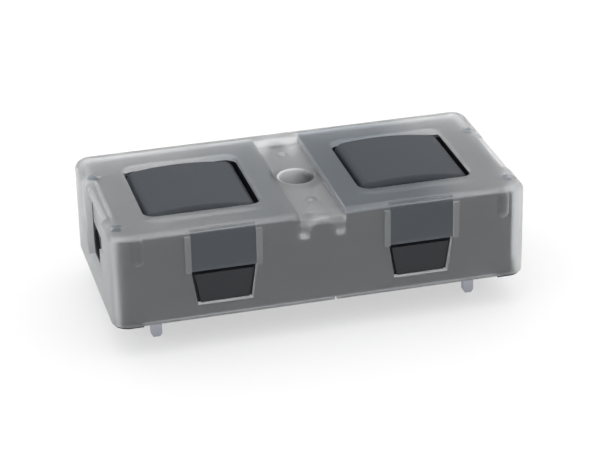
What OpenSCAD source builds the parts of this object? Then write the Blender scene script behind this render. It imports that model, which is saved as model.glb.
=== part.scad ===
// Twin lever wire connector for a board: two lever-operated two-pole connectors
// standing end to end under one frosted clip-over hood.
// X runs along the length, Y across it, and Z up. The origin is on the axis of the
// centre screw hole, in the plane of the board that the feet stand on.

/* [Hood] */
// Length of the hood
hood_l = 50; // [49:0.5:54]
// Width of the hood
hood_w = 24.5; // [24.5:0.5:27]
// Height of the hood's top above the board
hood_top = 11.7; // [11.7:0.1:12.2]
// Gap between the hood's lower edge and the board
hood_gap = 0.3; // [0.2:0.1:0.6]
// Thickness of the hood's walls and roof
wall = 0.8; // [0.7:0.05:0.8]
// Radius of the hood's upright corners
corner_r = 2; // [1.5:0.1:2.2]
// Radius of the edge round the hood's top
edge_r = 1; // [0.6:0.1:1]

/* [Lever window] */
// Distance from the centre to the window's inner edge
window_in = 5.95; // [5.8:0.05:6.05]
// Distance from the centre to the window's outer edge
window_out = 19.9; // [19.9:0.05:20.2]
// Width of the window
window_w = 14.5; // [14.4:0.1:14.6]
// Corner radius of the window
window_r = 1.5; // [1:0.1:2]

/* [Centre band] */
// Width of the sunken band across the middle of the roof
band_w = 5.5; // [5:0.1:5.6]
// Depth of the band below the roof
band_drop = 0.7; // [0.4:0.05:0.8]
// Radius of the screw hole
screw_r = 2.1; // [1.8:0.05:2.2]

/* [Snap windows] */
// Distance from the centre to the near side of a snap window, at its top
snap_in = 7.9; // [7.9:0.1:8.2]
// Distance from the centre to the far side of a snap window, at its top
snap_out = 15.75; // [15:0.05:15.8]
// Height of a snap window's lower edge above the board
snap_low = 2.05; // [2:0.05:2.4]
// Height of a snap window's upper edge, where the strap ends
snap_high = 6.4; // [6:0.1:6.6]
// How far each side of the window leans in at the bottom
snap_lean = 0.65; // [0.4:0.05:0.8]

/* [Lever] */
// Distance from the centre to the lever's hinge axis
hinge_x = 18; // [17.9:0.05:18.05]
// Height of the hinge axis above the board
hinge_z = 9.6; // [9.5:0.05:9.65]
// Radius of the steel axle
axle_r = 0.6; // [0.5:0.05:0.6]
// Running clearance between the axle and the lever
axle_gap = 0.05; // [0.03:0.01:0.08]
// Width of the lever
lever_w = 13.5; // [13.2:0.1:13.7]
// Height of the lever's crown above the board
crown_z = 11.75; // [11.4:0.05:11.75]
// Radius of the lever's arched top
crown_r = 40; // [35:1:60]
// Angle by which the right lever stands open at rest, in degrees
lever_lift = 2.7; // [0:0.1:4]

/* [Wiring] */
// Radius of a wire entry
entry_r = 1.9; // [1.7:0.05:1.9]
// Distance of a wire entry's axis from the middle
entry_y = 2.2; // [2.2:0.05:2.25]
// Height of a wire entry's axis above the board
entry_z = 4.4; // [4.4:0.05:4.5]
// Distance of the solder pins from the centre, along the length
pin_x = 19.3; // [19:0.05:19.4]
// Distance of the solder pins from the middle, across the width
pin_y = 7.35; // [7.3:0.05:7.4]
// How far the solder pins reach below the board's face
pin_drop = 3.8; // [3:0.1:4.5]
// Width of a solder pin
pin_w = 1.3; // [1:0.05:1.35]

/* [Hidden] */
$fn = 64;
over = 1;                                    // overshoot of a cut past the face it opens
bite = 0.1;                                  // overlap of two shapes that are joined

// Hood
in_l = hood_l - 2 * wall;                    // inside length of the hood
in_w = hood_w - 2 * wall;                    // inside width
roof_low = hood_top - wall;                  // underside of the roof
band_top = hood_top - band_drop;             // top of the sunken band
band_low = band_top - wall;                  // underside of the band
band_l = 19;                                 // length of the band, across the hood
window_l = window_out - window_in;
window_x = (window_in + window_out) / 2;
rim = 0.3;                                   // relief round a lever window's edge
rim_steps = 3;                               // number of steps that make the relief
strap_in = snap_in + 0.1;                    // near side of a strap
strap_cut = 0.45;                            // extra depth of the groove behind a strap's step
strap_bar = 0.65;                            // width of the bar on each side of a strap
strap_proud = 0.3;                           // how far the bars stand out of the wall
strap_step = 0.35;                           // drop from the roof to the strap's top edge
notch_x = [1.25, 1.55];                      // sides of the small notch in the front wall's foot
notch_h = 0.3;                               // height of that notch
arch_r = 1.6;                                // half-round arch over a joining key
arch_z = 9;                                  // height of the arch's centre
arch_low = 8.5;                              // lower end of the arch's legs
arch_leg = 1.1;                              // thickness of the arch's legs
arch_d = 2;                                  // depth of the arch, from the wall inward
mouth_low = 2.5;                             // height of the lower edge of the wires' opening
mouth_knee = 4.1;                            // height where the opening is full width
mouth_foot = [-3.8, 3.6];                    // front and rear side of the opening at its foot
mouth_front = -4.6;                          // front side of the opening where it is full width
recess_y0 = -6.3;                            // front side of the recess above the opening
recess_y1 = 4.1;                             // rear side of that recess and of the opening
recess_top = 0.45;                           // drop from the roof to the recess's top edge
recess_low = 7.1;                            // lower edge of the recess, at the opening
recess_cut = 1.15;                           // how far the roof's edge is cut back there
tongue_back = 0.85;                          // how far the end tongue stands back
tongue_low = 6.6;                            // height of the tongue's lower edge
tongue_t = 0.6;                              // thickness of the tongue
tongue_gap = 0.15;                           // gap at each side of the tongue
tongue_root = 0.5;                           // how far the tongue's root spreads at each side
pocket_x = 21.9;                             // distance of a corner pocket from the centre
pocket_r = 0.85;                             // radius of a corner pocket
pocket_z = 8.8;                              // height of the centre of its round bottom
pocket_out = 0.45;                           // how far its axis is outside the wall's face
dimple_x = 23.6;                             // distance of the roof dimples from the centre
dimple_y = [-9.3, 5.2];                      // their places across the roof
dimple_r = 0.8;                              // radius of a roof dimple
dimple_d = 0.35;                             // depth of a roof dimple
cup_y = 6.7;                                 // distance of the band's two round cups from the middle
cup_r = 0.8;                                 // radius of the sphere that shapes a cup
cup_lift = 0.35;                             // height of that sphere's centre above the band
tube_r = 3.2;                                // outside radius of the tube round the sleeve
tube_low = 0.6;                              // lower end of the tube
tube_gap = 0.2;                              // room round the tube
sleeve_r = 2.6;                              // outside radius of the sleeve
seat_t = 2.2;                                // thickness of the band over the sleeve
sleeve_h = band_top - seat_t;                // length of the sleeve
fit = 0.05;                                  // gap between fixed pieces that slip together
slot_gap = 0.1;                              // gap round a contact in its slots

// Housings and covers
joint_gap = 0.05;                            // half the gap between the two connectors
house_out = hood_l / 2 - tongue_back - tongue_t - fit;  // outer end of a housing, at the tongue
house_w = 22.6;                              // width of a housing
house_low = 1.5;                             // underside of a housing, on its cover
house_high = 10.3;                           // top of a housing at its outer end
rise_left = 10.6;                            // top of the left housing at its inner end
rise_right = 10.7;                           // top of the right housing at its inner end
house_r = 0.5;                               // radius of a housing's upright corners
step_x = 2.95;                               // where the housing drops under the band
step_z = 8.4;                                // height of the housing under the band
well_x0 = 5.65;                              // inner end of the lever well
well_x1 = 20.6;                              // outer end of the lever well
well_w = 14.6;                               // width of the lever well
well_z = 8.6;                                // floor of the lever well
heel_x = 14.8;                               // inner end of the deeper room for the hub
heel_z = 7;                                  // floor of that room
cell_x0 = 9.4;                               // inner end of a spring cell
cell_x1 = 20.3;                              // outer end of a spring cell
cell_w = 3.8;                                // width of a spring cell
collar_out = in_l / 2 - slot_gap;            // outer end of the wire entries' collar
collar_w = 9.6;                              // width of the collar
collar_low = 1.9;                            // lower face of the collar
collar_high = 6.5;                           // upper face of the collar
lug_out = 11.95;                             // how far a lug reaches from the middle
lug_gap = [0.4, 0.55, 0.15];                 // gap beside, over and under a lug in its window
heel_out = 20.15;                            // outer end of the relief for the lever's heel
heel_top = 11.15;                            // top of that relief
cover_l = collar_out;                        // outer end of a cover
cover_w = in_w - 2 * slot_gap;               // width of a cover
foot_l = 2.6;                                // length of a foot
foot_w = 2.2;                                // width of a foot
foot_in = 0.25;                              // how far a foot stops short of the hood's outer face
peg_r = 0.8;                                 // radius of a cover's pegs
peg_h = 1.6;                                 // height of a cover's pegs
peg_x = [5, 22];                             // distances of the pegs from the centre
peg_y = 9.6;                                 // distance of the pegs from the middle
axle_l = 17;                                 // length of an axle
slot_y = 8.6;                                // outer end of an axle's slot
seat_gap = 0.02;                             // room round an axle in its slot
key_w = 2.7;                                 // width of a joining key at its ends
key_neck = 1.5;                              // width of a joining key at its waist
key_d = 1.8;                                 // depth of a joining key
key_low = 1.8;                               // lower end of a joining key
key_high = 6.05;                             // top of the dovetail part of a key
key_y = 11.38;                               // outer face of a joining key
key_boss = 1.5;                              // radius of the key's round top

// Lever, contact and spring
lever_in = 6.35;                             // free end of the lever, from the centre
lever_out = 19.65;                           // hinged end of the lever
lever_t = 1;                                 // thickness of the lever's pad
skirt_z = 9;                                 // lower edge of the lever's skirt
skirt_t = 0.9;                               // thickness of the lever's skirt
crown_x = 13.5;                              // where the arch of the pad is highest
hub_r = 1.2;                                 // radius of the lever's hub
cam_r = 2.4;                                 // reach of the cam from the hinge axis
cam_angle = 20;                              // angle of the cam below the horizontal
cam_w = 3.1;                                 // width of each of the two cams
cam_nose = 0.6;                              // radius of a cam's nose
lever_r = 1.2;                               // radius of the lever's upright corners
lever_edge = 0.6;                            // chamfer along the two long edges of its top
strip = 0.8;                                 // thickness of the contact strip
bar_z = 5.6;                                 // underside of the contact bar
bar_x0 = 10;                                 // inner end of the contact bar
bar_x1 = 18;                                 // outer end of the contact bar
bar_w = 2.1;                                 // width of the contact bar
foot_z = 1.6;                                // underside of the contact's foot
arm_w = 1.3;                                 // width of the contact's foot arm
leaf = 0.35;                                 // thickness of the spring strip
leaf_w = 3.3;                                // width of the spring strip
cage_x = 18.5;                               // inner face of the spring's cage leg
cage_low = 2.1;                              // lower end of the cage leg
cage_high = 8.05;                            // top of the spring
bend_x = 12;                                 // where the spring's bend starts
leg_stop = 0.9;                              // how far the spring's lower leg stops short of the cage
cage_open = [2.9, 7.2];                      // lower and upper edge of the cage's window
pin_taper = 0.4;                             // length of a pin's tapered tip
pin_tip = 0.8;                               // width of the end of that tip

// Rectangle with round corners, centred on the origin.
module round_rect(l, w, r) {
    square([l - 2 * r, w], center = true);
    square([l, w - 2 * r], center = true);
    for (x = [-1, 1], y = [-1, 1])
        translate([x * (l / 2 - r), y * (w / 2 - r)]) circle(r);
}

// Block with round upright corners, from height z0 to z1.
module round_block(l, w, r, z0, z1) {
    translate([0, 0, z0]) linear_extrude(z1 - z0) round_rect(l, w, r);
}

// Box between two opposite corners.
module box(a, b) {
    translate(a) cube(b - a);
}

// Shape for the front half and its mirror image for the rear half.
module front_and_rear() {
    children();
    mirror([0, 1, 0]) children();
}

// Shape for the right half and its mirror image for the left half.
module left_and_right() {
    children();
    mirror([1, 0, 0]) children();
}

// Half outline of the hood from its axis to its wall, with the top edge rounded.
module hood_edge(half) {
    square([half, hood_top - hood_gap - edge_r]);
    square([half - edge_r, hood_top - hood_gap]);
    translate([half - edge_r, hood_top - hood_gap - edge_r]) circle(edge_r);
}

// Bar of the hood's outer shape: its length along X and a width between round edges.
module hood_bar(length, width) {
    rotate([90, 0, 90]) translate([0, 0, -length / 2]) linear_extrude(length) {
        hood_edge(width / 2);
        mirror([1, 0]) hood_edge(width / 2);
    }
}

// Outer shape of the hood, with round corners and a round top edge.
module hood_outside() {
    translate([0, 0, hood_gap]) {
        hood_bar(hood_l - 2 * corner_r, hood_w);
        rotate([0, 0, 90]) hood_bar(hood_w - 2 * corner_r, hood_l);
        for (x = [-1, 1], y = [-1, 1])
            translate([x * (hood_l / 2 - corner_r), y * (hood_w / 2 - corner_r), 0])
                rotate_extrude() hood_edge_right(corner_r);
    }
}

// The part of the hood's edge outline on one side of its axis.
module hood_edge_right(half) {
    intersection() {
        hood_edge(half);
        square([half + 1, hood_top]);
    }
}

// Lever window through the roof, with its edge relieved in small steps.
module lever_window() {
    translate([window_x, 0, 0]) {
        round_block(window_l, window_w, window_r, roof_low - over, hood_top + over);
        for (i = [1:rim_steps]) {
            grow = rim * i / rim_steps;
            round_block(window_l + 2 * grow, window_w + 2 * grow, window_r + grow,
                hood_top - rim - rim / rim_steps + grow, hood_top + over);
        }
    }
}

// Relief under a lever window's outer edge, where the lever's heel swings past.
module heel_relief() {
    box([window_out - over, -lever_w / 2 - slot_gap, roof_low - over],
        [heel_out, lever_w / 2 + slot_gap, heel_top]);
}

// Trapezoid opening that a lug snaps into, less the gaps beside, over and under it.
module snap_shape(gap, y0, y1) {
    translate([0, y1, 0]) rotate([90, 0, 0]) linear_extrude(y1 - y0)
        polygon([[snap_in + gap[0], snap_high - gap[1]],
            [snap_in + snap_lean + gap[0], snap_low + gap[2]],
            [snap_out - snap_lean - gap[0], snap_low + gap[2]],
            [snap_out - gap[0], snap_high - gap[1]]]);
}

// Raised bars at the two sides of one strap on the front wall.
module strap_frame() {
    for (x = [strap_in - strap_bar, snap_out])
        box([x, -hood_w / 2 - strap_proud, snap_high],
            [x + strap_bar, -hood_w / 2 + 2 * bite, hood_top - edge_r]);
}

// Step in the roof's edge above one strap, and the fine groove behind it.
module strap_step_cut() {
    groove = -in_w / 2 + bite;
    step = hood_top - strap_step;
    box([strap_in, -hood_w / 2 - over, step], [snap_out, groove, hood_top + over]);
    box([strap_in, groove - 2 * bite, step - strap_cut], [snap_out, groove, hood_top + over]);
}

// U-shaped pocket in the front wall near a corner.
module corner_pocket() {
    translate([pocket_x, -hood_w / 2 - pocket_out, pocket_z]) {
        cylinder(r = pocket_r, h = hood_top);
        sphere(pocket_r);
    }
}

// Round dimples in the roof on each side of the recess in the end wall.
module roof_dimples() {
    for (y = dimple_y)
        translate([dimple_x, y, hood_top - dimple_d]) cylinder(r = dimple_r, h = dimple_d + over);
}

// Recess in the end wall under the roof's edge.
module end_recess() {
    x1 = hood_l / 2 + over;
    box([hood_l / 2 - wall - over, recess_y0, recess_low], [x1, recess_y1, hood_top - recess_top]);
    box([hood_l / 2 - recess_cut, recess_y0, hood_top - recess_top], [x1, recess_y1, hood_top + over]);
}

// Opening for the wires in the end wall, narrower at its foot.
module end_mouth() {
    top = recess_low + bite;
    translate([hood_l / 2 - wall - over, 0, 0]) rotate([90, 0, 90]) linear_extrude(wall + 2 * over)
        polygon([[mouth_foot[0], mouth_low], [mouth_foot[1], mouth_low], [recess_y1, mouth_knee],
            [recess_y1, top], [mouth_front, top], [mouth_front, mouth_knee]]);
}

// Tongue that hangs from the roof inside the end recess.
module end_tongue() {
    x0 = hood_l / 2 - tongue_back - tongue_t;
    box([x0, recess_y0 + tongue_gap, tongue_low],
        [x0 + tongue_t, recess_y1 - tongue_gap, roof_low + bite]);
    box([x0, recess_y0 - tongue_root, roof_low - 2 * bite],
        [hood_l / 2 - 3 * bite, recess_y1 + tongue_root, hood_top - recess_top]);
}

// Block under the band's end, just inside the front wall, that the arch is cut from.
module arch_block() {
    half = arch_r + arch_leg;
    box([-half, -in_w / 2 - bite, arch_low], [half, -in_w / 2 + arch_d, roof_low + fit]);
}

// Opening that makes the block an inverted U over a joining key.
module arch_opening() {
    translate([0, -in_w / 2 + arch_d, arch_z]) rotate([90, 0, 0]) cylinder(r = arch_r, h = arch_d);
    box([-arch_r, -in_w / 2, arch_low - over], [arch_r, -in_w / 2 + arch_d, arch_z]);
}

// Frosted hood that snaps over both connectors.
module hood() {
    color("lightgray", 0.6) difference() {
        union() {
            difference() {
                hood_outside();
                round_block(in_l, in_w, corner_r - wall, hood_gap - over, roof_low);
                left_and_right() {
                    lever_window();
                    heel_relief();
                }
                box([-band_w / 2, -hood_w / 2 - over, band_top], [band_w / 2, band_l / 2, hood_top + over]);
                left_and_right() {
                    end_recess();
                    end_mouth();
                }
            }
            box([-band_w / 2 - bite, -in_w / 2 - bite, band_low], [band_w / 2 + bite, band_l / 2, band_top]);
            box([-band_w / 2 - wall, -in_w / 2 - bite, roof_low - bite],
                [band_w / 2 + wall, band_l / 2, band_top]);
            translate([0, 0, tube_low]) cylinder(r = tube_r, h = band_top - tube_low - bite);
            left_and_right() end_tongue();
            front_and_rear() {
                arch_block();
                left_and_right() strap_frame();
            }
        }
        front_and_rear() left_and_right() {
            snap_shape([0, 0, 0], -hood_w / 2 - over, -in_w / 2 + bite);
            strap_step_cut();
            corner_pocket();
        }
        left_and_right() roof_dimples();
        front_and_rear() {
            arch_opening();
            translate([0, -cup_y, band_top + cup_lift]) sphere(cup_r);
        }
        box([notch_x[0], -hood_w / 2 - over, 0], [notch_x[1], -in_w / 2 + over, hood_gap + notch_h]);
        translate([0, 0, -over]) cylinder(r = screw_r, h = hood_top + over);
        cylinder(r = sleeve_r + fit, h = sleeve_h);
    }
}

// Compression sleeve that the fixing screw passes through.
module screw_sleeve() {
    color("silver") difference() {
        cylinder(r = sleeve_r, h = sleeve_h);
        translate([0, 0, -over]) cylinder(r = screw_r, h = hood_top);
    }
}

// Room for the hood's tube in what surrounds it.
module tube_room() {
    translate([0, 0, -over]) cylinder(r = tube_r + tube_gap, h = hood_top);
}

// Bow-tie key: a dovetail below and a round-topped boss above it, grown by a margin.
module joining_key(grow) {
    half = key_w / 2 + grow;
    neck = key_neck / 2 + grow;
    front = -key_y - grow;
    back = -key_y + key_d + grow;
    translate([0, 0, key_low - grow]) linear_extrude(key_high - key_low + 2 * grow)
        polygon([[-half, front], [half, front], [neck, (front + back) / 2],
            [half, back], [-half, back], [-neck, (front + back) / 2]]);
    box([-neck, front, key_high - over], [neck, back, arch_z]);
    translate([0, front, arch_z]) rotate([-90, 0, 0]) cylinder(r = key_boss + grow, h = back - front);
}

// Solid body of one housing, before the cells are cut. Its top slopes up to its inner
// end, and drops in a step under the hood's band.
module housing_block(rise) {
    intersection() {
        round_block(2 * house_out, house_w, house_r, house_low, hood_top);
        translate([0, house_w / 2, 0]) rotate([90, 0, 0]) linear_extrude(house_w)
            polygon([[joint_gap, house_low], [house_out, house_low], [house_out, house_high],
                [step_x, rise], [step_x, step_z], [joint_gap, step_z]]);
    }
    box([house_out - over, -collar_w / 2, collar_low], [collar_out, collar_w / 2, collar_high]);
    front_and_rear() snap_shape(lug_gap, -lug_out, -house_w / 2 + 5 * bite);
}

// One spring cell with its wire entry and the room for the contact's foot.
module cell() {
    y0 = entry_y - cell_w / 2;
    y1 = entry_y + cell_w / 2;
    near = bar_x0 - slot_gap;
    far = pin_x + pin_w / 2 + slot_gap;
    row = strip / 2 + slot_gap;
    foot_top = foot_z + strip + slot_gap;
    box([cell_x0, -y1, house_low - over], [cell_x1, -y0, well_z + over]);
    translate([cell_x1 - over, -entry_y, entry_z]) rotate([0, 90, 0]) cylinder(r = entry_r, h = hood_top);
    box([near, -pin_y - row, house_low - over], [bar_x0 + arm_w + slot_gap, -y0, foot_top]);
    box([near, -pin_y - row, house_low - over], [far, -pin_y + row, foot_top]);
}

// Housing of the right-hand connector, with its top at a given height at the inner end.
module housing(rise) {
    difference() {
        housing_block(rise);
        box([well_x0, -well_w / 2, well_z], [well_x1, well_w / 2, hood_top]);
        box([heel_x, -well_w / 2, heel_z], [well_x1, well_w / 2, hood_top]);
        front_and_rear() {
            cell();
            axle_slot();
            for (x = peg_x)
                translate([x, -peg_y, house_low - over]) cylinder(r = peg_r + fit, h = peg_h + bite + over);
            joining_key(fit);
        }
        tube_room();
    }
}

// Slot with a round bottom that an axle end drops into.
module axle_slot() {
    half = axle_r + seat_gap;
    length = slot_y - well_w / 2 + over;
    translate([hinge_x, -slot_y, hinge_z]) {
        rotate([-90, 0, 0]) cylinder(r = half, h = length);
        box([-half, 0, 0], [half, length, hood_top]);
    }
}

module housing_left() {
    color("dimgray") mirror([1, 0, 0]) housing(rise_left);
}

module housing_right() {
    color("dimgray") housing(rise_right);
}

// Cover under the right-hand housing, with feet, pegs and slots for the pins.
module bottom_cover() {
    difference() {
        union() {
            intersection() {
                round_block(2 * cover_l, cover_w, corner_r - wall, hood_gap, house_low);
                box([joint_gap, -cover_w, 0], [cover_l, cover_w, house_low]);
            }
            front_and_rear() {
                intersection() {
                    union() {
                        round_block(2 * cover_l, cover_w, corner_r - wall, 0, house_low);
                        round_block(hood_l - 2 * foot_in, hood_w - 2 * foot_in, corner_r - foot_in,
                            0, hood_gap - fit);
                    }
                    box([cover_l - foot_l, -hood_w / 2, 0], [hood_l / 2, -cover_w / 2 + foot_w, house_low]);
                }
                for (x = peg_x)
                    translate([x, -peg_y, house_low - bite]) cylinder(r = peg_r, h = peg_h + bite);
            }
        }
        tube_room();
        half = [pin_w / 2 + slot_gap, strip / 2 + slot_gap];
        front_and_rear() translate([pin_x, -pin_y, 0])
            box([-half[0], -half[1], -over], [half[0], half[1], house_low + over]);
    }
}

module bottom_cover_left() {
    color("dimgray") mirror([1, 0, 0]) bottom_cover();
}

module bottom_cover_right() {
    color("dimgray") bottom_cover();
}

module joining_key_front() {
    color("dimgray") joining_key(0);
}

module joining_key_rear() {
    color("dimgray") mirror([0, 1, 0]) joining_key(0);
}

// Disk whose rim is the arched top of the pad, chamfered on both sides.
module crown_disk() {
    half = lever_w / 2;
    edge = crown_r - lever_edge;
    translate([crown_x, 0, crown_z - crown_r]) rotate([90, 0, 0]) rotate_extrude($fn = 360)
        polygon([[0, -half], [edge, -half], [crown_r, lever_edge - half], [crown_r, half - lever_edge],
            [edge, half], [0, half]]);
}

// Shell of the lever: an arched pad with a skirt round its underside.
module lever_pad() {
    length = lever_out - lever_in;
    middle = (lever_in + lever_out) / 2;
    difference() {
        intersection() {
            translate([middle, 0, 0]) round_block(length, lever_w, lever_r, skirt_z, crown_z + over);
            crown_disk();
        }
        intersection() {
            translate([middle, 0, 0])
                round_block(length - 2 * skirt_t, lever_w - 2 * skirt_t, lever_r / 2,
                    skirt_z - over, crown_z);
            translate([crown_x, lever_w, crown_z - crown_r]) rotate([90, 0, 0])
                cylinder(r = crown_r - lever_t, h = 2 * lever_w, $fn = 360);
        }
    }
}

// Lever with its hub, cams and axle hole, closed.
module lever() {
    difference() {
        union() {
            lever_pad();
            translate([hinge_x, lever_w / 2 - 3 * bite, hinge_z]) rotate([90, 0, 0])
                cylinder(r = hub_r, h = lever_w - 6 * bite);
            front_and_rear() translate([hinge_x, -entry_y + cam_w / 2, hinge_z]) rotate([90, cam_angle, 0])
                linear_extrude(cam_w) cam_outline();
        }
        translate([hinge_x, lever_w, hinge_z]) rotate([90, 0, 0])
            cylinder(r = axle_r + axle_gap, h = 2 * lever_w);
    }
}

// Cam that presses the spring down: a round nose on an arm from the hub.
module cam_outline() {
    translate([cam_r - cam_nose, 0]) circle(cam_nose);
    translate([0, -cam_nose]) square([cam_r - cam_nose, 2 * cam_nose]);
}

module lever_left() {
    color("slategray") mirror([1, 0, 0]) lever();
}

// The right lever rests slightly open, turned about its own hinge.
module lever_right() {
    color("slategray") translate([hinge_x, 0, hinge_z]) rotate([0, lever_lift, 0])
        translate([-hinge_x, 0, -hinge_z]) lever();
}

// Steel axle of one lever.
module axle() {
    translate([hinge_x, axle_l / 2, hinge_z]) rotate([90, 0, 0]) cylinder(r = axle_r, h = axle_l);
}

module axle_left() {
    color("silver") mirror([1, 0, 0]) axle();
}

module axle_right() {
    color("silver") axle();
}

// Stamped contact: a bar the wire is drawn up against, a post down to the floor,
// a foot that runs out to the side, and the solder pin bent down from its end.
module contact() {
    y0 = -entry_y - bar_w / 2;
    y1 = -entry_y + bar_w / 2;
    top = foot_z + strip;
    box([bar_x0, y0, bar_z], [bar_x1, y1, bar_z + strip]);
    box([bar_x0, y0, foot_z], [bar_x0 + strip, y1, bar_z + strip]);
    box([bar_x0, -pin_y - strip / 2, foot_z], [bar_x0 + arm_w, y1, top]);
    box([bar_x0, -pin_y - strip / 2, foot_z], [pin_x + pin_w / 2, -pin_y + strip / 2, top]);
    translate([pin_x, -pin_y + strip / 2, 0]) rotate([90, 0, 0]) linear_extrude(strip) pin_outline();
}

// Face of a solder pin, with its tip tapered.
module pin_outline() {
    polygon([[-pin_w / 2, foot_z + strip], [-pin_w / 2, pin_taper - pin_drop],
        [-pin_tip / 2, -pin_drop], [pin_tip / 2, -pin_drop],
        [pin_w / 2, pin_taper - pin_drop], [pin_w / 2, foot_z + strip]]);
}

module contact_left_front() {
    color("lightsteelblue") mirror([1, 0, 0]) contact();
}

module contact_left_rear() {
    color("lightsteelblue") mirror([1, 0, 0]) mirror([0, 1, 0]) contact();
}

module contact_right_front() {
    color("lightsteelblue") contact();
}

module contact_right_rear() {
    color("lightsteelblue") mirror([0, 1, 0]) contact();
}

// Cage spring: a leg on the contact bar, a bend, a leg that the cam presses,
// and a cage leg with a window that the bar and the wire pass through.
module spring() {
    base = bar_z + strip;
    bend_z = (base + cage_high) / 2;
    bend_out = (cage_high - base) / 2;
    y0 = -entry_y - leaf_w / 2;
    y1 = -entry_y + leaf_w / 2;
    box([bend_x, y0, base], [cage_x - leg_stop, y1, base + leaf]);
    box([bend_x, y0, cage_high - leaf], [cage_x + leaf, y1, cage_high]);
    intersection() {
        translate([bend_x, y1, bend_z]) rotate([90, 0, 0]) difference() {
            cylinder(r = bend_out, h = leaf_w);
            translate([0, 0, -over]) cylinder(r = bend_out - leaf, h = leaf_w + 2 * over);
        }
        box([bend_x - 2 * bend_out, y0 - over, base - over], [bend_x, y1 + over, cage_high + over]);
    }
    difference() {
        box([cage_x, y0, cage_low], [cage_x + leaf, y1, cage_high]);
        half = bar_w / 2 + slot_gap;
        box([cage_x - over, -entry_y - half, cage_open[0]], [cage_x + over, -entry_y + half, cage_open[1]]);
    }
}

module spring_left_front() {
    color("gainsboro") mirror([1, 0, 0]) spring();
}

module spring_left_rear() {
    color("gainsboro") mirror([1, 0, 0]) mirror([0, 1, 0]) spring();
}

module spring_right_front() {
    color("gainsboro") spring();
}

module spring_right_rear() {
    color("gainsboro") mirror([0, 1, 0]) spring();
}

hood();
screw_sleeve();
housing_left();
housing_right();
bottom_cover_left();
bottom_cover_right();
joining_key_front();
joining_key_rear();
lever_left();
lever_right();
axle_left();
axle_right();
contact_left_front();
contact_left_rear();
contact_right_front();
contact_right_rear();
spring_left_front();
spring_left_rear();
spring_right_front();
spring_right_rear();
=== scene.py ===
import math

import bpy
from mathutils import Matrix, Vector


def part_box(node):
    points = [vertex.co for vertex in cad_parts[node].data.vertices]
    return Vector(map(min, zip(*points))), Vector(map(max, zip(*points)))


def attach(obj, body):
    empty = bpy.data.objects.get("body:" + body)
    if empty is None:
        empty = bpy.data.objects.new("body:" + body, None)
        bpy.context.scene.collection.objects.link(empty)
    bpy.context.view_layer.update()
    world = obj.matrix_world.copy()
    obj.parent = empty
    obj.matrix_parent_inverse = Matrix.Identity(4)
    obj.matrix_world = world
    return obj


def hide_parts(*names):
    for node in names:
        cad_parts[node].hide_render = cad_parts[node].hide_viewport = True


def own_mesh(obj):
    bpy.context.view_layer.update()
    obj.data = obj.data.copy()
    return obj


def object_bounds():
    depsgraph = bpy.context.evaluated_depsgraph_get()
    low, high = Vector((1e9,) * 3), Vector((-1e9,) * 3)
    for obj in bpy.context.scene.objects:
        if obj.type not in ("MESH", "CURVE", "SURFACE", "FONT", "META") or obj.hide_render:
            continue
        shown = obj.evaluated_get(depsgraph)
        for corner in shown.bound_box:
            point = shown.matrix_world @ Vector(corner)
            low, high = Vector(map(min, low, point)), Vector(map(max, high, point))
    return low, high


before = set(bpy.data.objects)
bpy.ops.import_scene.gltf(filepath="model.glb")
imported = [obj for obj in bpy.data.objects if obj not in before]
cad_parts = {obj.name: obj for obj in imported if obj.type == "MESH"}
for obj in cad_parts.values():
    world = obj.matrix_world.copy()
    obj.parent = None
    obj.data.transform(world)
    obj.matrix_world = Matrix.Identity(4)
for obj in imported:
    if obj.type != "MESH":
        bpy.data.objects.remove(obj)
cad_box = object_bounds()

# ---------------------------------------------------------------- camera, floor and light
# A small part stands on its four pins on a sheet of opal acrylic that is lit from below,
# in a white light tent, so only its gloss and its own shade shape it.
mm = 0.001
scene = bpy.context.scene
scene.view_settings.view_transform = "Standard"


def deselect_all():
    """Leaves nothing selected, so that an operator acts only on what is picked next."""
    for other in bpy.context.selected_objects:
        other.select_set(False)


def linear(hex_colour):
    """Linear colour, with alpha 1, of an sRGB hex value."""
    parts = [int(hex_colour[i:i + 2], 16) / 255 for i in (1, 3, 5)]
    return [p / 12.92 if p <= 0.04045 else ((p + 0.055) / 1.055) ** 2.4 for p in parts] + [1]


def add_node(tree, kind, settings=None, links=None):
    """Adds a shader node: settings go to its inputs or its own properties, links to its inputs."""
    made = tree.nodes.new(kind)
    for key, value in (settings or {}).items():
        if isinstance(key, int) or key in made.inputs.keys():
            made.inputs[key].default_value = value
        else:
            setattr(made, key, value)
    for key, socket in (links or {}).items():
        tree.links.new(socket, made.inputs[key])
    return made


def new_material(name):
    """An empty node material, its tree, and its Object coordinates."""
    material = bpy.data.materials.new(name)
    material.use_nodes = True
    tree = material.node_tree
    tree.nodes.clear()
    return material, tree, add_node(tree, "ShaderNodeTexCoord").outputs["Object"]


def two_tones(tree, dark, light, factor):
    """A colour that runs from one sRGB hex value to another as a factor goes from 0 to 1."""
    mix = add_node(tree, "ShaderNodeMix", {"data_type": "RGBA", 6: linear(dark), 7: linear(light)},
                   {0: factor})
    return mix.outputs[2]


def finish_material(tree, settings, links):
    """Closes a material with its surface shader and its output."""
    shader = add_node(tree, "ShaderNodeBsdfPrincipled", settings, links)
    add_node(tree, "ShaderNodeOutputMaterial", None, {"Surface": shader.outputs[0]})


def opal_acrylic():
    """Matt opal acrylic, glowing evenly, with a broad faint mottle."""
    material, tree, place = new_material("matt_opal_acrylic")
    mottle = add_node(tree, "ShaderNodeTexNoise", {"Scale": 9, "Detail": 3}, {"Vector": place})
    tint = two_tones(tree, "#b8b8b8", "#bcbcbc", mottle.outputs["Fac"])
    finish_material(tree, {"Roughness": 0.9, "Specular IOR Level": 0.2, "Emission Color": (1, 1, 1, 1),
                           "Emission Strength": 0.52}, {"Base Color": tint})
    return material


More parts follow.
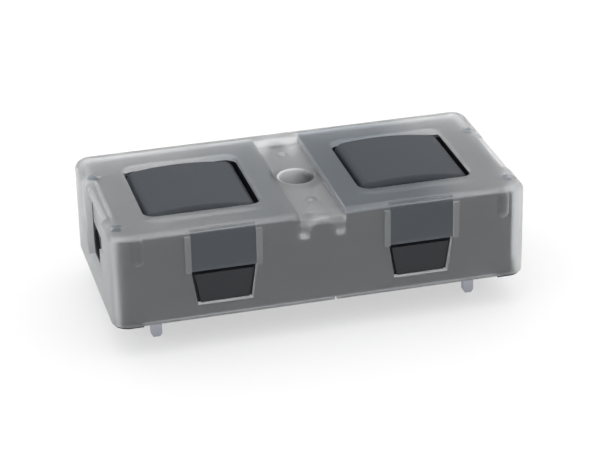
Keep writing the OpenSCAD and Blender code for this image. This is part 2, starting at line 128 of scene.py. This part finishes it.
camera = bpy.data.objects.new("camera", bpy.data.cameras.new("camera"))
scene.collection.objects.link(camera)
camera.location = (-61.13 * mm, -239.13 * mm, 124.62 * mm)
camera.rotation_euler = [math.radians(a) for a in (64.037, 1.045, -14.927)]
camera.data.lens = 135.97
camera.data.sensor_width = 36
camera.data.clip_start = 0.01
scene.camera = camera

world = bpy.data.worlds.new("light_tent")
world.use_nodes = True
tent = world.node_tree
direction = add_node(tent, "ShaderNodeTexCoord").outputs["Generated"]
height = add_node(tent, "ShaderNodeSeparateXYZ", None, {0: direction})
glow = add_node(tent, "ShaderNodeMapRange", {"To Min": 0.62, "To Max": 1.32}, {"Value": height.outputs["Z"]})
tent.nodes["Background"].inputs["Color"].default_value = (1, 1, 1, 1)
tent.links.new(glow.outputs[0], tent.nodes["Background"].inputs["Strength"])
scene.world = world

deselect_all()
pin_tips = cad_box[0][2]
bpy.ops.mesh.primitive_plane_add(size=6, location=(0, 0, pin_tips))
floor = bpy.context.active_object
floor.name = "floor"
floor.data.materials.append(opal_acrylic())

# ---------------------------------------------------------------- housings, covers and keys
# Each connector is a housing, open below, that a flat cover closes, and two bow-tie keys
# join the two of them. All are glass-filled polyamide 6.6, moulded nearly black in a
# spark-eroded tool, which leaves a fine matt grain and edges that are never quite sharp.
sides = ("left", "right")
ends = ("front", "rear")


def smooth(piece):
    """Shades a piece smooth except at its sharp edges, and keeps its flat faces flat."""
    deselect_all()
    piece.select_set(True)
    bpy.context.view_layer.objects.active = piece
    bpy.ops.object.shade_smooth_by_angle(angle=math.radians(40))
    even = piece.modifiers.new("even", "WEIGHTED_NORMAL")
    even.keep_sharp = True
    even.weight = 100
    bpy.ops.object.modifier_apply(modifier=even.name)


def soften(piece, width):
    """Breaks every sharp edge by a hair, as a mould or a press does."""
    deselect_all()
    piece.select_set(True)
    bpy.context.view_layer.objects.active = piece
    flat = piece.modifiers.new("flat", "TRIANGULATE")
    bpy.ops.object.modifier_apply(modifier=flat.name)
    edge = piece.modifiers.new("edge", "BEVEL")
    edge.width = width
    edge.segments = 2
    edge.limit_method = "ANGLE"
    edge.angle_limit = math.radians(35)
    edge.use_clamp_overlap = False
    bpy.ops.object.modifier_apply(modifier=edge.name)
    smooth(piece)


def merge(piece, gap=0.002 * mm):
    """Joins a piece's loose triangles into whole flat faces, and closes the finest gaps."""
    deselect_all()
    piece.select_set(True)
    bpy.context.view_layer.objects.active = piece
    bpy.ops.object.mode_set(mode="EDIT")
    bpy.ops.mesh.select_all(action="SELECT")
    bpy.ops.mesh.remove_doubles(threshold=gap)
    bpy.ops.mesh.dissolve_limited(angle_limit=math.radians(0.5))
    bpy.ops.object.mode_set(mode="OBJECT")


def finished_copy(node, width, material):
    """A copy of a CAD piece with its edges broken, which takes that piece's place."""
    piece = bpy.data.objects.new("finished_" + node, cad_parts[node].data.copy())
    scene.collection.objects.link(piece)
    merge(piece)
    soften(piece, width)
    piece.data.materials.clear()
    piece.data.materials.append(material)
    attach(piece, "connector")
    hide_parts(node)
    return piece


def finish_grained(tree, settings, tone, grain, roughness, strength, relief_mm):
    """Closes a material whose roughness and relief both follow one fine grain."""
    spread = 0.08
    rough = add_node(tree, "ShaderNodeMapRange", {"To Min": roughness - spread, "To Max": roughness + spread},
                     {"Value": grain.outputs["Fac"]})
    relief = add_node(tree, "ShaderNodeBump", {"Strength": strength, "Distance": relief_mm * mm},
                      {"Height": grain.outputs["Fac"]})
    finish_material(tree, settings,
                    {"Base Color": tone, "Roughness": rough.outputs[0], "Normal": relief.outputs[0]})


def eroded_plastic(name, dark, light, roughness, gloss, grain_mm, relief_mm):
    """Moulded plastic: two close tones in a slow drift, and a fine eroded grain."""
    material, tree, place = new_material(name)
    drift_mm = 6
    drift = add_node(tree, "ShaderNodeTexNoise", {"Scale": 1 / (drift_mm * mm), "Detail": 2},
                     {"Vector": place})
    grain = add_node(tree, "ShaderNodeTexNoise",
                     {"Scale": 1 / (grain_mm * mm), "Detail": 4, "Roughness": 0.6}, {"Vector": place})
    tone = two_tones(tree, dark, light, drift.outputs["Fac"])
    finish_grained(tree, {"Specular IOR Level": gloss}, tone, grain, roughness,
                   strength=0.5, relief_mm=relief_mm)
    return material


housing_plastic = eroded_plastic("eroded_polyamide_housing", "#24262a", "#292b2f", roughness=0.5, gloss=0.3,
                                 grain_mm=0.22, relief_mm=0.012)
moulded_edge = 0.06 * mm
for side in sides:
    finished_copy("housing_" + side, moulded_edge, housing_plastic)
    finished_copy("bottom_cover_" + side, moulded_edge, housing_plastic)
for end in ends:
    finished_copy("joining_key_" + end, moulded_edge, housing_plastic)

# ---------------------------------------------------------------- contacts
# Each contact is stamped from 0.8 mm copper strip, bent up, and hot-dip tinned: a satin
# grey-white skin with a faint grain along the strip. Its flat pin is soldered to the board.


def rolled_metal(name, dark, light, roughness, grain_mm):
    """Metal strip or bar with a faint grain along its height."""
    material, tree, place = new_material(name)
    stretch = add_node(tree, "ShaderNodeMapping", {"Scale": (1, 1, 0.12)}, {"Vector": place})
    grain = add_node(tree, "ShaderNodeTexNoise", {"Scale": 1 / (grain_mm * mm), "Detail": 4},
                     {"Vector": stretch.outputs[0]})
    tone = two_tones(tree, dark, light, grain.outputs["Fac"])
    finish_grained(tree, {"Metallic": 1}, tone, grain, roughness, strength=0.4, relief_mm=0.006)
    return material


tinned = rolled_metal("hot_dip_tinned_copper", "#a8a9b2", "#b8b9c2", roughness=0.42, grain_mm=0.3)
stamped_edge = 0.05 * mm
for side in sides:
    for end in ends:
        finished_copy(f"contact_{side}_{end}", stamped_edge, tinned)

# ---------------------------------------------------------------- springs
# Each cage spring is one strip of rolled stainless steel, 0.35 mm thick, bent back on
# itself. Its lever's cam presses the upper leg, and the whole spring gives in height.
stainless = rolled_metal("rolled_stainless_strip", "#b2b2b1", "#c4c4c2", roughness=0.3, grain_mm=0.25)
strip_edge = 0.04 * mm
for side in sides:
    for end in ends:
        spring = finished_copy(f"spring_{side}_{end}", strip_edge, stainless)
        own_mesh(spring)

# ---------------------------------------------------------------- axles and sleeve
# Turned and ground steel: two plain axles that the levers turn on, and the sleeve that
# takes the screw's load past the plastic.
ground_steel = rolled_metal("ground_steel", "#b4b4b5", "#cacaca", roughness=0.25, grain_mm=0.2)
turned_edge = 0.08 * mm
for node in ("axle_left", "axle_right", "screw_sleeve"):
    finished_copy(node, turned_edge, ground_steel)

# ---------------------------------------------------------------- levers
# Each lever is a thin arched pad with a skirt, a hub that its axle runs through, and two
# cams, moulded in one shot in slate-grey polyamide. Its free end is toward the middle of
# the part, and the right one rests slightly open.
hinge_x, hinge_z = 18 * mm, 9.6 * mm
lever_in, lever_out, lever_half = 6.35 * mm, 19.65 * mm, 6.75 * mm
crown_x, crown_z, crown_r = 13.5 * mm, 11.75 * mm, 40 * mm
skirt_z, skirt_t, pad_t = 9 * mm, 0.9 * mm, 1 * mm
hub_r, bore_r = 1.2 * mm, 0.65 * mm
lever_lift = math.radians(2.7)
near = 0.01 * mm                             # a point this close to a face counts as on it


def block(low, high):
    """A box between two corners, with its place in its mesh."""
    deselect_all()
    middle = [(a + b) / 2 for a, b in zip(low, high)]
    bpy.ops.mesh.primitive_cube_add(size=1, location=middle, scale=[b - a for a, b in zip(low, high)])
    bpy.ops.object.transform_apply(location=True, rotation=True, scale=True)
    return bpy.context.active_object


def rod(start, end, radius, facets=48):
    """A cylinder from one point to another, with its place in its mesh."""
    deselect_all()
    line = Vector(end) - Vector(start)
    bpy.ops.mesh.primitive_cylinder_add(vertices=facets, radius=radius, depth=line.length,
                                        location=(Vector(start) + Vector(end)) / 2,
                                        rotation=line.to_track_quat("Z", "Y").to_euler())
    bpy.ops.object.transform_apply(location=True, rotation=True, scale=True)
    return bpy.context.active_object


def select_edges(piece, test):
    """Opens a piece in edit mode with the edges selected whose two ends pass a test."""
    bpy.context.view_layer.objects.active = piece
    bpy.context.tool_settings.mesh_select_mode = (False, True, False)
    mesh = piece.data
    for part in (mesh.vertices, mesh.edges, mesh.polygons):
        part.foreach_set("select", [False] * len(part))
    for edge in mesh.edges:
        edge.select = test(*[mesh.vertices[i].co for i in edge.vertices])
    bpy.ops.object.mode_set(mode="EDIT")


def round_edges(piece, test, width, segments):
    """Rounds the edges whose two ends pass a test."""
    select_edges(piece, test)
    bpy.ops.mesh.bevel(offset=width, segments=segments, affect="EDGES")
    bpy.ops.object.mode_set(mode="OBJECT")


def upright(a, b):
    """A test for edges that stand upright."""
    return (a.xy - b.xy).length < 0.001 * mm


def above(height):
    """A test for edges that lie higher than a height."""
    return lambda a, b: min(a.z, b.z) > height


def divide(piece, point, direction):
    """Adds a ring of edges where a plane meets a piece."""
    select_edges(piece, lambda a, b: True)
    bpy.ops.mesh.bisect(plane_co=point, plane_no=direction)
    bpy.ops.object.mode_set(mode="OBJECT")


def carve(piece, tool, operation="DIFFERENCE"):
    """Cuts a tool shape out of a piece, or joins it on, and removes the tool."""
    deselect_all()
    bpy.context.view_layer.objects.active = piece
    step = piece.modifiers.new("carve", "BOOLEAN")
    step.operation = operation
    step.solver = "EXACT"
    step.object = tool
    bpy.ops.object.modifier_apply(modifier=step.name)
    bpy.data.objects.remove(tool)


def arched_block(margin, top, low, corner, edge):
    """A block with round corners whose top, with a round edge, is arched about the crown."""
    piece = block((lever_in + margin, margin - lever_half, low),
                  (lever_out - margin, lever_half - margin, top))
    round_edges(piece, upright, corner, segments=8)
    round_edges(piece, above(top - near), edge, segments=6)
    rings = 36
    for i in range(1, rings):
        divide(piece, (lever_in + (lever_out - lever_in) * i / rings, 0, 0), (1, 0, 0))
    for vertex in piece.data.vertices:
        vertex.co.z -= crown_r - math.sqrt(crown_r ** 2 - (vertex.co.x - crown_x) ** 2)
    return piece


def swing(piece, angle):
    """Turns a piece's mesh about the hinge axis, as opening the right lever does."""
    piece.data.transform(Matrix.Translation((hinge_x, 0, hinge_z)) @ Matrix.Rotation(angle, 4, "Y")
                         @ Matrix.Translation((-hinge_x, 0, -hinge_z)))


def add_cam(lever, y):
    """A round-nosed arm that reaches out and down from the hub."""
    half, reach, nose, drop = 1.55 * mm, 2.4 * mm, 0.6 * mm, math.radians(20)
    tip_x = hinge_x + (reach - nose) * math.cos(drop)
    tip_z = hinge_z - (reach - nose) * math.sin(drop)
    cam = rod((tip_x, y - half, tip_z), (tip_x, y + half, tip_z), nose, facets=24)
    arm = block((hinge_x, y - half, hinge_z - nose), (hinge_x + reach - nose, y + half, hinge_z + nose))
    swing(arm, drop)
    carve(cam, arm, "UNION")
    carve(lever, cam, "UNION")


def lever_shape(side):
    """One lever, closed on the left (-1) and slightly open on the right (1)."""
    blank_low = skirt_z - 2 * mm
    lever = arched_block(0, crown_z, blank_low, corner=1.2 * mm, edge=0.9 * mm)
    carve(lever, block((0, -2 * lever_half, 0), (2 * lever_out, 2 * lever_half, skirt_z)))
    carve(lever, arched_block(skirt_t, crown_z - pad_t, blank_low, corner=0.5 * mm, edge=0.2 * mm))
    set_in = 0.3 * mm
    hub_half = lever_half - set_in
    carve(lever, rod((hinge_x, -hub_half, hinge_z), (hinge_x, hub_half, hinge_z), hub_r), "UNION")
    cam_y = 2.2 * mm
    for y in (-cam_y, cam_y):
        add_cam(lever, y)
    carve(lever, rod((hinge_x, -lever_half, hinge_z), (hinge_x, lever_half, hinge_z), bore_r, facets=32))
    if side < 0:
        lever.data.transform(Matrix.Diagonal((-1, 1, 1, 1)))
        lever.data.flip_normals()
    else:
        swing(lever, lever_lift)
    return lever


lever_plastic = eroded_plastic("eroded_polyamide_lever", "#292f36", "#2e343c", roughness=0.42, gloss=0.36,
                               grain_mm=0.2, relief_mm=0.01)
for side, sign in (("left", -1), ("right", 1)):
    lever = lever_shape(sign)
    lever.name = "moulded_lever_" + side
    soften(lever, moulded_edge)
    lever.data.materials.clear()
    lever.data.materials.append(lever_plastic)
    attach(lever, "lever_" + side)
    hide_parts("lever_" + side)

# ---------------------------------------------------------------- hood
# The hood is one moulding in polycarbonate with a frosting filler, open underneath. It
# slides down over both connectors until its straps catch on their lugs, and one screw
# through its middle holds everything to the board.
wall = 0.8 * mm
hood_low, hood_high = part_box("hood")
strap_proud = 0.3 * mm
hood_x = hood_high[0]
hood_y = hood_high[1] - strap_proud
hood_top = hood_high[2]
roof_low = hood_top - wall
band_top = hood_top - 0.7 * mm
screw_r = 2.1 * mm                           # radius of the screw hole
band_x = 2.75 * mm                           # half the width of the sunken band
arch_x, arch_r = 2.7 * mm, 1.6 * mm          # half width of the arches, outside and inside
arch_low, arch_z = 8.5 * mm, 9 * mm          # foot of their legs, and centre of their round
snap_in, snap_out = 7.9 * mm, 15.75 * mm     # near and far side of a snap window
snap_low, snap_high = 2.05 * mm, 6.4 * mm    # its lower and upper edge
recess_front, recess_rear = -6.3 * mm, 4.1 * mm
recess_low, tongue_low = 7.1 * mm, 6.6 * mm  # foot of the end recess, and of its tongue
dimple_x, dimple_r = 23.6 * mm, 0.8 * mm     # place along the roof, and radius, of the round marks
dimple_rows = (-9.3 * mm, 5.2 * mm)          # their places across the roof
beyond = 1 * mm                              # overshoot of a cut past the face it opens
bite = 0.1 * mm                              # overlap of two shapes that are joined


def both_ways(low, high, axis):
    """A box's corners, and those of its mirror image across an axis."""
    yield list(low), list(high)
    mirrored = list(low), list(high)
    mirrored[0][axis], mirrored[1][axis] = -high[axis], -low[axis]
    yield mirrored


def hood_shell():
    """The plain cover: round upright corners, a round top edge, and an even wall."""
    shell = block((-hood_x, -hood_y, hood_low[2]), (hood_x, hood_y, hood_top))
    shell.name = "hood_shell"
    corner_r, edge_r = 2 * mm, 1 * mm
    round_edges(shell, upright, corner_r, segments=10)
    round_edges(shell, above(hood_top - near), edge_r, segments=6)
    inside = block((wall - hood_x, wall - hood_y, hood_low[2] - beyond),
                   (hood_x - wall, hood_y - wall, roof_low))
    round_edges(inside, upright, corner_r - wall, segments=8)
    carve(shell, inside)
    return shell


def cut_lever_windows(shell):
    """Two openings with round corners, and a soft rim pressed round each."""
    inner, outer, half = 5.95 * mm, 19.9 * mm, 7.25 * mm
    corner_r, rim = 1.5 * mm, 0.3 * mm
    for low, high in both_ways((inner, -half, roof_low - beyond), (outer, half, hood_top + beyond), 0):
        window = block(low, high)
        round_edges(window, upright, corner_r, segments=8)
        carve(shell, window)

    def on_rim(a, b):
        return all(p.z > hood_top - near and inner - rim < abs(p.x) < outer + rim and abs(p.y) < half + rim
                   for p in (a, b))

    round_edges(shell, on_rim, rim, segments=4)


def relieve_the_heels(shell):
    """Relief under each window's outer edge, where a lever's heel swings past."""
    half, heel_out, heel_top = 6.95 * mm, 20.25 * mm, 11.2 * mm
    for low, high in both_ways((heel_out - beyond, -half, roof_low - beyond), (heel_out, half, heel_top), 0):
        carve(shell, block(low, high))


def sink_the_band(shell):
    """The sunken band across the middle, open at the front and closed by a slope behind,
    with a round cup near each end."""
    band_rear, slope, foot_r, rim = 9.5 * mm, 1.2 * mm, 0.3 * mm, 0.15 * mm
    front = -hood_y + wall - bite
    high = hood_top - 3 * bite
    for half, low, rear in ((band_x + wall, roof_low - bite, band_rear + bite),
                            (band_x + bite, band_top - wall, band_rear)):
        carve(shell, block((-half, front, low), (half, rear, high)), "UNION")
    channel = block((-band_x, -hood_y - beyond, band_top), (band_x, band_rear, hood_top + beyond))
    for vertex in channel.data.vertices:
        if vertex.co.y > 0 and vertex.co.z > hood_top:
            vertex.co.y += slope
    round_edges(channel, lambda a, b: min(a.y, b.y) > 0 and max(a.z, b.z) < hood_top, foot_r, segments=4)
    carve(shell, channel)

    def along_band(a, b):
        return all(p.z > hood_top - near and abs(abs(p.x) - band_x) < near for p in (a, b))

    round_edges(shell, along_band, rim, segments=3)
    cup_y, cup_r, cup_lift = 6.7 * mm, 0.8 * mm, 0.35 * mm
    for y in (-cup_y, cup_y):
        deselect_all()
        bpy.ops.mesh.primitive_uv_sphere_add(segments=32, ring_count=16, radius=cup_r,
                                             location=(0, y, band_top + cup_lift))
        bpy.ops.object.transform_apply(location=True, rotation=True, scale=True)
        carve(shell, bpy.context.active_object)


def add_arches(shell):
    """An inverted U under each end of the band, over the joining keys."""
    inside, depth = hood_y - wall, 2 * mm
    for low, high in both_ways((-arch_x, inside - depth, arch_low),
                               (arch_x, inside + bite, roof_low + bite / 2), 1):
        carve(shell, block(low, high), "UNION")
    for low, high in both_ways((-arch_r, inside - depth, arch_low - beyond), (arch_r, inside, arch_z), 1):
        opening = block(low, high)
        carve(opening, rod((0, low[1], arch_z), (0, high[1], arch_z), arch_r), "UNION")
        carve(shell, opening)


def bore_the_middle(shell):
    """The tube that seats the sleeve, and the screw hole with its soft rim."""
    tube_r, tube_low, sleeve_r, seat_t = 3.2 * mm, 0.6 * mm, 2.65 * mm, 2.2 * mm
    carve(shell, rod((0, 0, tube_low), (0, 0, band_top - bite), tube_r), "UNION")
    carve(shell, rod((0, 0, -beyond), (0, 0, band_top - seat_t), sleeve_r))
    carve(shell, rod((0, 0, 0), (0, 0, hood_top + beyond), screw_r))

    def on_hole(a, b):
        return all(p.z > band_top - near and p.xy.length < screw_r + near for p in (a, b))

    rim = 0.25 * mm
    round_edges(shell, on_hole, rim, segments=4)


def open_the_ends(shell):
    """The recess in each end wall, its hanging tongue, and the mouth for the wires."""
    recess_top, cut_back = hood_top - 0.45 * mm, 1.15 * mm
    wall_in, out = hood_x - wall - beyond, hood_x + beyond
    for low, high in both_ways((wall_in, recess_front, recess_low), (out, recess_rear, recess_top), 0):
        carve(shell, block(low, high))
    for low, high in both_ways((hood_x - cut_back, recess_front, recess_top - bite),
                               (out, recess_rear, hood_top + beyond), 0):
        carve(shell, block(low, high))
    mouth_front, mouth_low, mouth_knee = -4.6 * mm, 2.5 * mm, 4.1 * mm
    foot_front, foot_rear = -3.8 * mm, 3.6 * mm
    for low, high in both_ways((wall_in, mouth_front, mouth_low), (out, recess_rear, recess_low + bite), 0):
        mouth = block(low, high)
        divide(mouth, (0, 0, mouth_knee), (0, 0, 1))
        for vertex in mouth.data.vertices:
            if vertex.co.z < mouth_low + near:
                vertex.co.y = foot_front if vertex.co.y < 0 else foot_rear
        carve(shell, mouth)
    tongue_x, tongue_t, tongue_gap, tongue_root = hood_x - 0.85 * mm, 0.6 * mm, 1.5 * bite, 5 * bite
    for low, high in both_ways((tongue_x - tongue_t, recess_front + tongue_gap, tongue_low),
                               (tongue_x, recess_rear - tongue_gap, roof_low + bite), 0):
        carve(shell, block(low, high), "UNION")
    for low, high in both_ways((tongue_x - tongue_t, recess_front - tongue_root, roof_low - 2 * bite),
                               (hood_x - 3 * bite, recess_rear + tongue_root, recess_top), 0):
        carve(shell, block(low, high), "UNION")


def add_straps(shell):
    """Four straps: proud bars, a step in the roof's edge and a trapezoid window. One small
    notch in the foot of the front wall."""
    bar, lean, step = 0.65 * mm, 0.65 * mm, 0.35 * mm
    bar_top = hood_top - 7 * bite
    width = snap_out - snap_in
    for side in (1, -1):
        for end in (1, -1):
            for x in (snap_in + bite - bar, snap_out):
                left, right = sorted((side * x, side * (x + bar)))
                front, rear = sorted((end * (hood_y - 2 * bite), end * (hood_y + strap_proud)))
                carve(shell, block((left, front, snap_high), (right, rear, bar_top)), "UNION")
            left, right = sorted((side * snap_in, side * snap_out))
            front, rear = sorted((end * (hood_y - wall - bite), end * (hood_y + beyond)))
            window = block((left, front, snap_low), (right, rear, snap_high))
            select_edges(window, lambda a, b: max(a.z, b.z) < snap_low + near)
            bpy.ops.transform.resize(value=((width - 2 * lean) / width, 1, 1),
                                     center_override=((left + right) / 2, 0, 0))
            bpy.ops.object.mode_set(mode="OBJECT")
            carve(shell, window)
            left, right = sorted((side * (snap_in + bite), side * snap_out))
            front, rear = sorted((end * (hood_y - wall + bite), end * (hood_y + beyond)))
            carve(shell, block((left, front, hood_top - step), (right, rear, hood_top + beyond)))
    notch_left, notch_right = 1.25 * mm, 1.55 * mm
    notch_top = hood_low[2] + step
    carve(shell, block((notch_left, -hood_y - beyond, 0), (notch_right, -hood_y + beyond, notch_top)))


def press_pockets(shell):
    """Round-ended pockets near the corners of the long walls, and dimples in the roof."""
    pocket_x, pocket_out, pocket_r, pocket_z = 21.9 * mm, 0.45 * mm, 0.85 * mm, 8.8 * mm
    bottom_r, dimple_deep = 0.7 * mm, 0.35 * mm
    for side in (1, -1):
        for end in (1, -1):
            x, y = side * pocket_x, end * (hood_y + pocket_out)
            pocket = rod((x, y, pocket_z - pocket_r), (x, y, hood_top + beyond), pocket_r)
            round_edges(pocket, lambda a, b: max(a.z, b.z) < pocket_z - bite, bottom_r, segments=6)
            carve(shell, pocket)
        for y in dimple_rows:
            x = side * dimple_x
            carve(shell, rod((x, y, hood_top - dimple_deep), (x, y, hood_top + beyond), dimple_r, facets=24))


def fade(tree, value, start, end):
    """Falls smoothly from 1 to 0 as a value goes from start to end."""
    return add_node(tree, "ShaderNodeMapRange", {"interpolation_type": "SMOOTHSTEP", "From Min": start,
                                                 "From Max": end, "To Min": 1, "To Max": 0},
                    {"Value": value}).outputs[0]


def combine(tree, operation, *values):
    """One arithmetic operation on two or more sockets, in turn."""
    result = values[0]
    for value in values[1:]:
        result = add_node(tree, "ShaderNodeMath", {"operation": operation}, {0: result, 1: value}).outputs[0]
    return result


def scaled(tree, value, factor):
    """A value times a constant."""
    return add_node(tree, "ShaderNodeMath", {"operation": "MULTIPLY", 1: factor}, {0: value}).outputs[0]


def region(tree, *limits):
    """1 inside a soft-edged region and 0 outside it. Each limit is a value, where its fade
    starts, and where it ends."""
    return combine(tree, "MULTIPLY", *[fade(tree, *limit) for limit in limits])


def coordinates(tree, place):
    """A place's X, Y and Z, and the size of its X and of its Y."""
    x, y, z = add_node(tree, "ShaderNodeSeparateXYZ", None, {0: place}).outputs
    along, across = [add_node(tree, "ShaderNodeMath", {"operation": "ABSOLUTE"}, {0: axis}).outputs[0]
                     for axis in (x, y)]
    return x, y, z, along, across


def pressed_on_and_dimple_shade(tree, place):
    """1 where the hood is pressed on a housing, and where painted shade darkens a round mark, and 0
    elsewhere: over the right housing's high inner end, with a hard edge at its step and a slow fade
    outward, less so over the left one's, in the straps, and as painted shade in the rear of each
    round mark in the roof."""
    x, y, z, along, across = coordinates(tree, place)
    blur = 0.1 * mm
    step_x, flat_y, roof_z = 2.9 * mm, 11 * mm, 10.5 * mm
    right_fade, left_fade, left_share = (11 * mm, 20 * mm), (5 * mm, 16 * mm), 0.4
    inner_end = region(tree, (along, step_x + blur, step_x), (across, flat_y, flat_y + 5 * blur),
                       (z, roof_z + blur, roof_z))
    on_right = region(tree, (x, blur, 0), (x, *right_fade))
    on_left = scaled(tree, fade(tree, along, *left_fade), left_share)
    land = combine(tree, "MULTIPLY", inner_end, combine(tree, "MAXIMUM", on_right, on_left))
    strap_y, strap_low, strap_high = 11.8 * mm, 6.1 * mm, 11.3 * mm
    strap = region(tree, (along, snap_in + 2 * blur, snap_in + blur), (along, snap_out - blur, snap_out),
                   (across, strap_y + blur, strap_y), (z, strap_high - blur, strap_high),
                   (z, strap_low + blur, strap_low))
    # Painted shade: the rear half of each round mark in the roof is darkened in the colour.
    shift, core = 0.3 * mm, 0.5 * mm
    folded = add_node(tree, "ShaderNodeCombineXYZ", None, {0: along, 1: y, 2: z}).outputs[0]
    dimple_shade = []
    for row in dimple_rows:
        reach = add_node(tree, "ShaderNodeVectorMath",
                         {"operation": "DISTANCE", 1: (dimple_x, row + shift, hood_top)}, {0: folded})
        dimple_shade.append(fade(tree, reach.outputs["Value"], core, dimple_r))
    return combine(tree, "MAXIMUM", land, strap, *dimple_shade)


def thick_places(tree, place):
    """How milky the plastic is where it is thick: most in the seat on the screw hole's left,
    less in the end tongues, arches, band, corners and bars, and least in the rear top edge."""
    x, y, z, along, across = coordinates(tree, place)
    blur = 0.1 * mm
    rise = add_node(tree, "ShaderNodeMath", {"operation": "MAXIMUM", 1: arch_z}, {0: z}).outputs[0]
    upward = add_node(tree, "ShaderNodeCombineXYZ", None, {0: x, 2: rise}).outputs[0]
    from_arch = add_node(tree, "ShaderNodeVectorMath", {"operation": "DISTANCE", 1: (0, 0, arch_z)},
                         {0: upward}).outputs["Value"]
    level = add_node(tree, "ShaderNodeCombineXYZ", None, {0: x, 1: y}).outputs[0]
    from_axis = add_node(tree, "ShaderNodeVectorMath", {"operation": "LENGTH"}, {0: level}).outputs["Value"]

    arch_y = 11.4 * mm
    arches = region(tree, (along, arch_x - blur, arch_x + blur), (z, arch_low + blur, arch_low - blur),
                    (across, arch_y, arch_y - blur), (from_arch, arch_r + blur, arch_r - blur))
    seat_side, seat_low = (-0.4 * mm, 2.4 * mm), 8.8 * mm
    seat = region(tree, (from_axis, screw_r + blur, screw_r + 3 * blur), (x, *seat_side),
                  (z, seat_low + blur, seat_low))
    band_low = band_top - wall
    band = region(tree, (along, arch_x, arch_x + blur), (z, band_low + blur, band_low))
    edge_rows, edge_rise = (11.6 * mm, 11 * mm), (11.1 * mm, 10.7 * mm)
    rear_edge = region(tree, (y, *edge_rows), (z, *edge_rise))
    corner_ends, corner_sides = (24.4 * mm, 23.8 * mm), (11.2 * mm, 10.2 * mm)
    corners = region(tree, (along, *corner_ends), (across, *corner_sides))
    tongue_face, tongue_sides = (23.6 * mm, 23.4 * mm), (6 * mm, 6.4 * mm)
    tongues = region(tree, (along, *tongue_face), (across, *tongue_sides),
                     (z, tongue_low + blur, tongue_low - blur))
    bar_face = (12.35 * mm, 12.3 * mm)
    bars = fade(tree, across, *bar_face)

    shares = ((arches, 1), (seat, 8), (band, 0.9), (rear_edge, -0.6), (corners, 0.8), (tongues, 2.4),
              (bars, 0.8))
    return combine(tree, "ADD", *[scaled(tree, mask, share) for mask, share in shares])


def frosted_plastic():
    """Polycarbonate with a frosting filler: it blurs what lies behind it, it is milkier
    where it is thick, darker and bluer where no air is left between it and a housing, with painted
    shade in the rear of each round mark, and painted light whitening it along the rear and the right end."""
    material, tree, place = new_material("frosted_polycarbonate")
    x, y = add_node(tree, "ShaderNodeSeparateXYZ", None, {0: place}).outputs[:2]
    # Painted light: the colour is whitened along the rear edge and the right end, standing in for light from
    # behind shining through the hood.
    rear_rows, right_end = (11.4 * mm, 10.6 * mm), (24.4 * mm, 23.8 * mm)
    painted_backlight = combine(tree, "MAXIMUM", fade(tree, y, *rear_rows), fade(tree, x, *right_end))
    # Darker and bluer where the hood lies on a housing, with painted shade in the rear of each round mark.
    tint = two_tones(tree, "#e6e8ea", "#9fabb6", pressed_on_and_dimple_shade(tree, place))
    tint = add_node(tree, "ShaderNodeMix", {"data_type": "RGBA", 7: linear("#ffffff")}, {0: painted_backlight, 6: tint})
    clear = add_node(tree, "ShaderNodeMapRange", {"clamp": False, "To Min": 0.94, "To Max": 0.84},
                     {"Value": thick_places(tree, place)})
    grain_mm = 0.3
    grain = add_node(tree, "ShaderNodeTexNoise", {"Scale": 1 / (grain_mm * mm), "Detail": 4},
                     {"Vector": place})
    relief = add_node(tree, "ShaderNodeBump", {"Strength": 0.2, "Distance": 0.01 * mm},
                      {"Height": grain.outputs["Fac"]})
    finish_material(tree, {"Roughness": 0.4, "IOR": 1.45},
                    {"Base Color": tint.outputs[2], "Transmission Weight": clear.outputs[0],
                     "Normal": relief.outputs[0]})
    return material


hood = hood_shell()
cut_lever_windows(hood)
relieve_the_heels(hood)
sink_the_band(hood)
add_arches(hood)
bore_the_middle(hood)
open_the_ends(hood)
add_straps(hood)
press_pockets(hood)
merge(hood, gap=0.03 * mm)
soften(hood, width=0.03 * mm)
hood.data.materials.clear()
hood.data.materials.append(frosted_plastic())
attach(hood, "connector")
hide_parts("hood")
